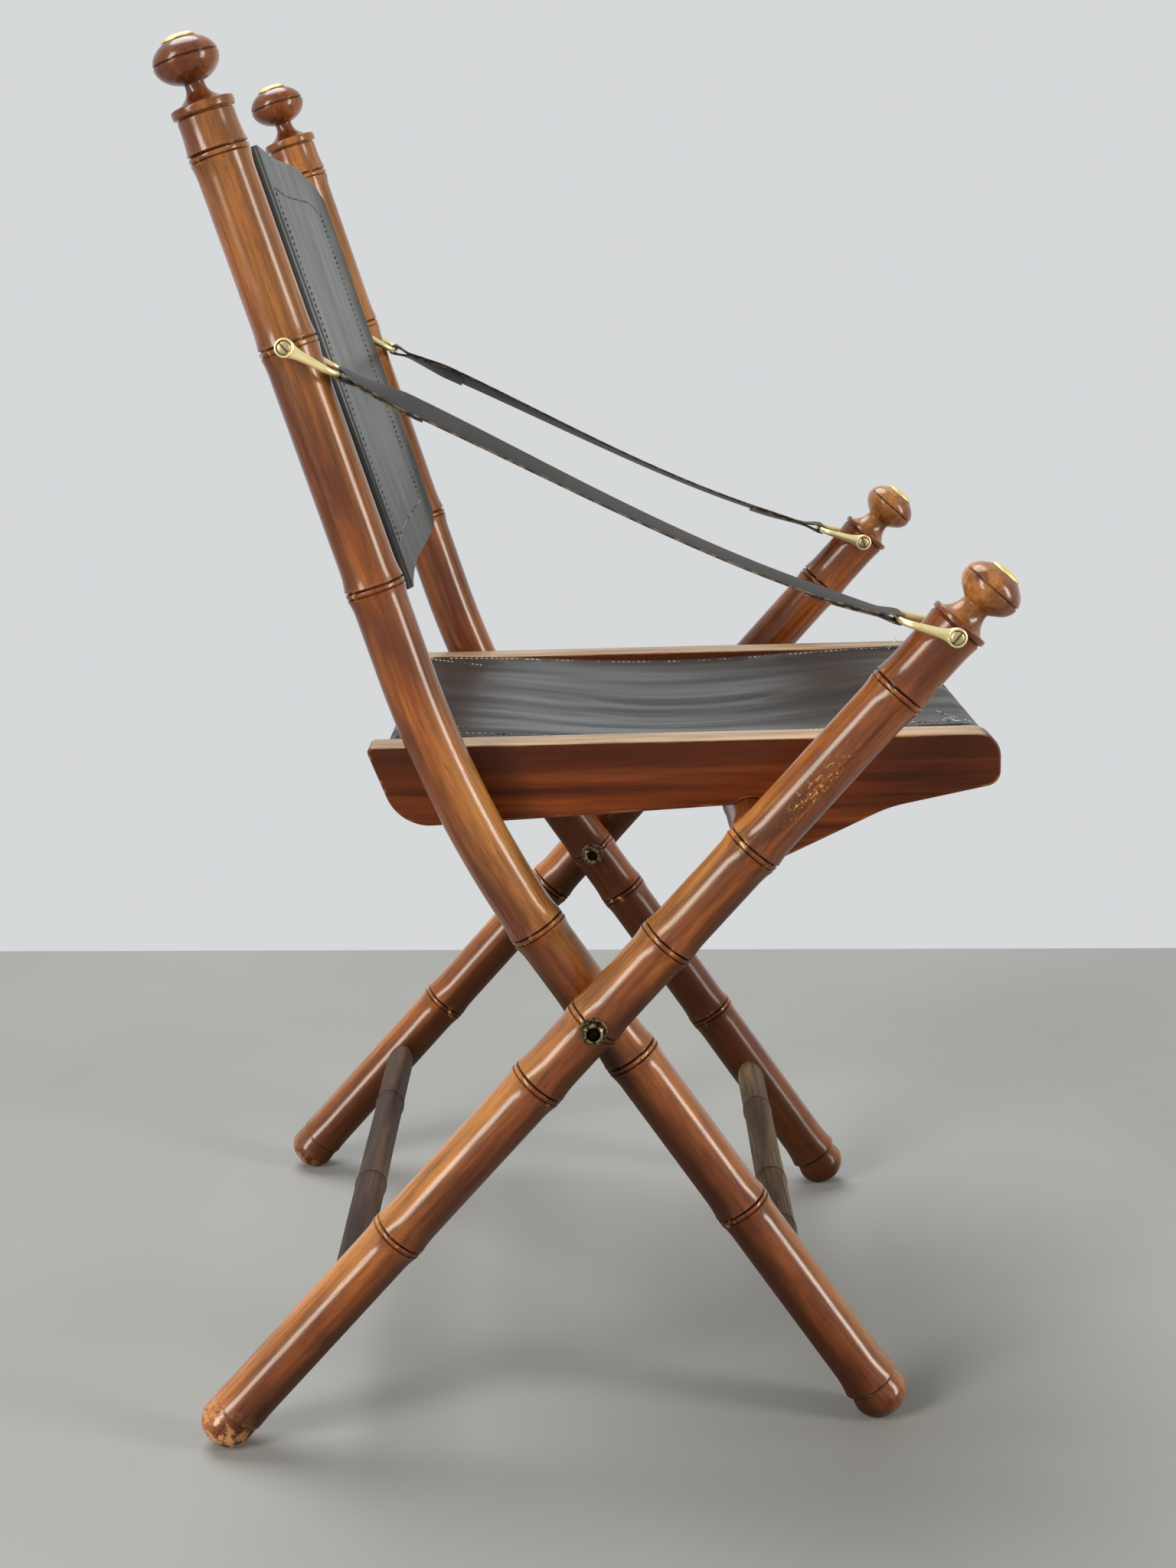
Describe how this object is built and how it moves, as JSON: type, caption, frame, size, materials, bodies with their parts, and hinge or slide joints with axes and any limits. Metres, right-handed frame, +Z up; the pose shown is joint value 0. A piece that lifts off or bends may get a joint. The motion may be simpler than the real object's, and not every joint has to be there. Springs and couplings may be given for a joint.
{
  "type": "folding safari chair",
  "caption": "Folding safari chair: turned wooden poles crossed on bolts, hooked seat frame, leather seat and back, leather arm straps on brass shackles.",
  "frame": {"origin": "on the floor, under the middle of the chair's bounding box", "axes": "+X towards the front of the chair, +Y to the sitter's left, +Z up"},
  "size_m": [0.5538, 0.5648, 0.9485],
  "materials": {
    "varnished_wood": "worn satin varnish",
    "seat_wood": "worn satin varnish, bare on the edges",
    "bare_wood": "bare, weathered",
    "black_leather": "worn, with a sheen on the high places",
    "brass": "dull polish",
    "dark_bronze": "darkened"
  },
  "bodies": {
    "back_frame": {"back_post_right": "varnished_wood", "back_finial_right": "varnished_wood", "back_cap_right": "brass", "pivot_bolt_right": "dark_bronze", "pivot_head_washer_right": "dark_bronze", "pivot_pole_washer_right": "dark_bronze", "pivot_nut_washer_right": "dark_bronze", "pivot_nut_right": "dark_bronze", "seat_pin_right": "dark_bronze", "back_shackle_screw_outer_right": "brass", "back_shackle_screw_inner_right": "brass", "arm_strap_right": "black_leather", "back_post_left": "varnished_wood", "back_finial_left": "varnished_wood", "back_cap_left": "brass", "pivot_bolt_left": "dark_bronze", "pivot_head_washer_left": "dark_bronze", "pivot_pole_washer_left": "dark_bronze", "pivot_nut_washer_left": "dark_bronze", "pivot_nut_left": "dark_bronze", "seat_pin_left": "dark_bronze", "back_shackle_screw_outer_left": "brass", "back_shackle_screw_inner_left": "brass", "arm_strap_left": "black_leather", "front_stretcher": "bare_wood", "back_sling": "black_leather"},
    "arm_frame": {"arm_pole_right": "varnished_wood", "arm_finial_right": "varnished_wood", "arm_cap_right": "brass", "arm_shackle_screw_outer_right": "brass", "arm_shackle_screw_inner_right": "brass", "arm_pole_left": "varnished_wood", "arm_finial_left": "varnished_wood", "arm_cap_left": "brass", "arm_shackle_screw_outer_left": "brass", "arm_shackle_screw_inner_left": "brass", "rear_stretcher": "bare_wood", "seat_rest_rail": "varnished_wood"},
    "seat_frame": {"seat_board_right": "seat_wood", "seat_board_left": "seat_wood", "seat_rear_rail": "seat_wood", "seat_front_rail": "seat_wood", "seat_sling": "black_leather"},
    "back_shackle_right": {"back_shackle_right": "brass"},
    "arm_shackle_right": {"arm_shackle_right": "brass"},
    "back_shackle_left": {"back_shackle_left": "brass"},
    "arm_shackle_left": {"arm_shackle_left": "brass"}
  },
  "joints": [
    {"name": "fold", "type": "hinge", "parent": "back_frame", "child": "arm_frame", "pos_m": [-0.0017, 0, 0.309], "axis": [0, -1, 0], "range_deg": [0, 58], "deforming": ["arm_strap_right", "arm_strap_left"]},
    {"name": "seat_lift", "type": "hinge", "parent": "back_frame", "child": "seat_frame", "pos_m": [-0.08905, 0, 0.44989], "axis": [0, -1, 0], "range_deg": [0, 81.2]},
    {"name": "back_shackle_right_turn", "type": "hinge", "parent": "back_frame", "child": "back_shackle_right", "pos_m": [-0.19714, -0.2145, 0.75404], "axis": [0, -1, 0], "range_deg": [-7, 15], "deforming": ["arm_strap_right"]},
    {"name": "arm_shackle_right_turn", "type": "hinge", "parent": "arm_frame", "child": "arm_shackle_right", "pos_m": [0.23029, -0.255, 0.57307], "axis": [0, -1, 0], "range_deg": [-15, 15], "deforming": ["arm_strap_right"]},
    {"name": "back_shackle_left_turn", "type": "hinge", "parent": "back_frame", "child": "back_shackle_left", "pos_m": [-0.19714, 0.2145, 0.75404], "axis": [0, -1, 0], "range_deg": [-7, 15], "deforming": ["arm_strap_left"]},
    {"name": "arm_shackle_left_turn", "type": "hinge", "parent": "arm_frame", "child": "arm_shackle_left", "pos_m": [0.23029, 0.255, 0.57307], "axis": [0, -1, 0], "range_deg": [-15, 15], "deforming": ["arm_strap_left"]}
  ],
  "couplings": [
    {"joint": "seat_lift", "follows": "fold", "ratio": 1.4}
  ]
}
